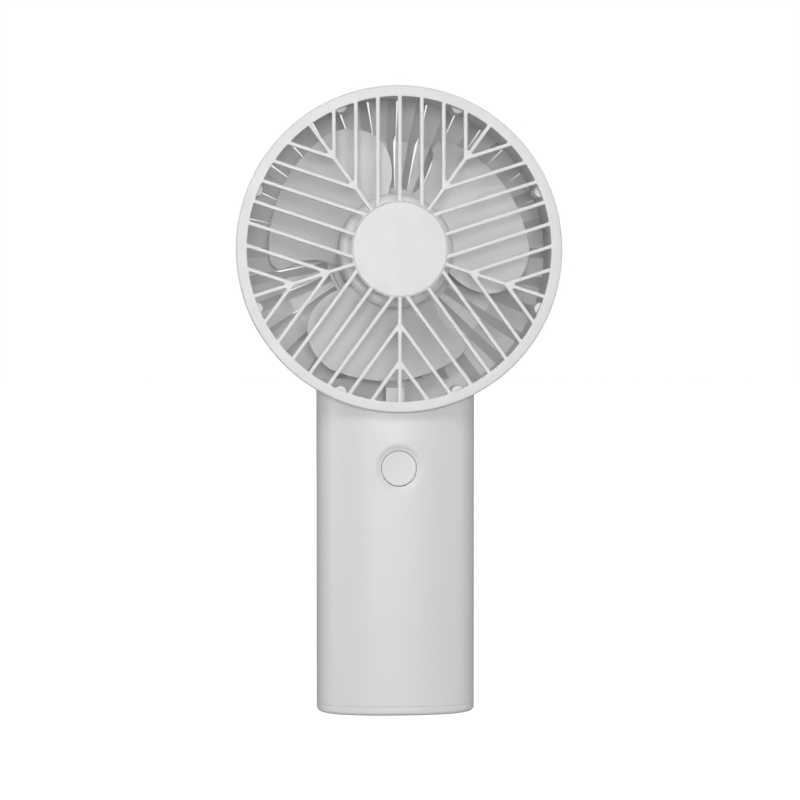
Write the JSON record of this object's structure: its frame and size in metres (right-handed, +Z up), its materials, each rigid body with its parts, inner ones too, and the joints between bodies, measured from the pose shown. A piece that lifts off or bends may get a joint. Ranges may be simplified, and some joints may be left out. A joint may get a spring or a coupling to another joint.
{
  "type": "handheld electric fan",
  "caption": "Battery hand fan: a round head with a barred front guard and slotted rear wall, a bladed impeller on a small motor, and a flat oval handle with a push button.",
  "frame": {"origin": "middle of the handle's flat base, at the mouth of the charging port", "axes": "+Z up along the handle, -Y out of the front guard, +X to the right seen from the front"},
  "size_m": [0.084, 0.0343, 0.1625],
  "materials": {
    "white_shell": "satin",
    "impeller_plastic": "satin",
    "steel": "satin",
    "dark_metal": "matte",
    "bearing_brass": "satin",
    "copper": "enamelled",
    "circuit_board": "gloss",
    "black_plastic": "matte",
    "ceramic_brown": "matte",
    "ivory_plastic": "satin",
    "cell_sleeve": "gloss",
    "foam": "matte",
    "lead_insulation": "satin"
  },
  "bodies": {
    "base": {"front_grille": "white_shell", "grille_cap": "white_shell", "fan_housing": "white_shell", "wire_cover": "white_shell", "rear_hub_cap": "white_shell", "motor_base": "steel", "bearing_tube": "bearing_brass", "front_bush": "bearing_brass", "rear_bush": "bearing_brass", "stator_core": "dark_metal", "stator_insulators": "black_plastic", "stator_windings": "copper", "motor_board": "circuit_board", "motor_screws": "steel", "motor_wires": "lead_insulation", "handle_front_shell": "white_shell", "handle_rear_shell": "white_shell", "bottom_cap": "white_shell", "cap_screws": "steel", "neck_screws": "steel", "switch_body": "steel", "main_board": "circuit_board", "board_screws": "steel", "controller_chip": "black_plastic", "charger_chip": "black_plastic", "power_inductor": "dark_metal", "board_capacitors": "ceramic_brown", "motor_socket": "ivory_plastic", "motor_plug": "ivory_plastic", "battery_socket": "ivory_plastic", "battery_plug": "ivory_plastic", "cell_left": "cell_sleeve", "cell_right": "cell_sleeve", "cell_cradle_bottom": "black_plastic", "cell_cradle_top": "black_plastic", "cell_strip_top": "steel", "cell_strip_bottom": "steel", "battery_wires": "lead_insulation", "battery_foam": "foam", "usb_board": "circuit_board", "usb_shell": "steel", "usb_tongue": "black_plastic", "usb_wires": "lead_insulation"},
    "rotor": {"impeller": "impeller_plastic", "rotor_can": "steel", "magnet_ring": "dark_metal", "motor_shaft": "steel", "shaft_clip": "steel"},
    "button_body": {"button": "white_shell", "switch_plunger": "black_plastic"}
  },
  "joints": [
    {"name": "impeller_spin", "type": "hinge", "parent": "base", "child": "rotor", "pos_m": [0, 0, 0.1205], "axis": [0, -1, 0], "continuous": true},
    {"name": "button_press", "type": "slide", "parent": "base", "child": "button_body", "axis": [0, 1, 0], "range_m": [0, 0.0003], "stiffness_N_per_m": 800}
  ]
}
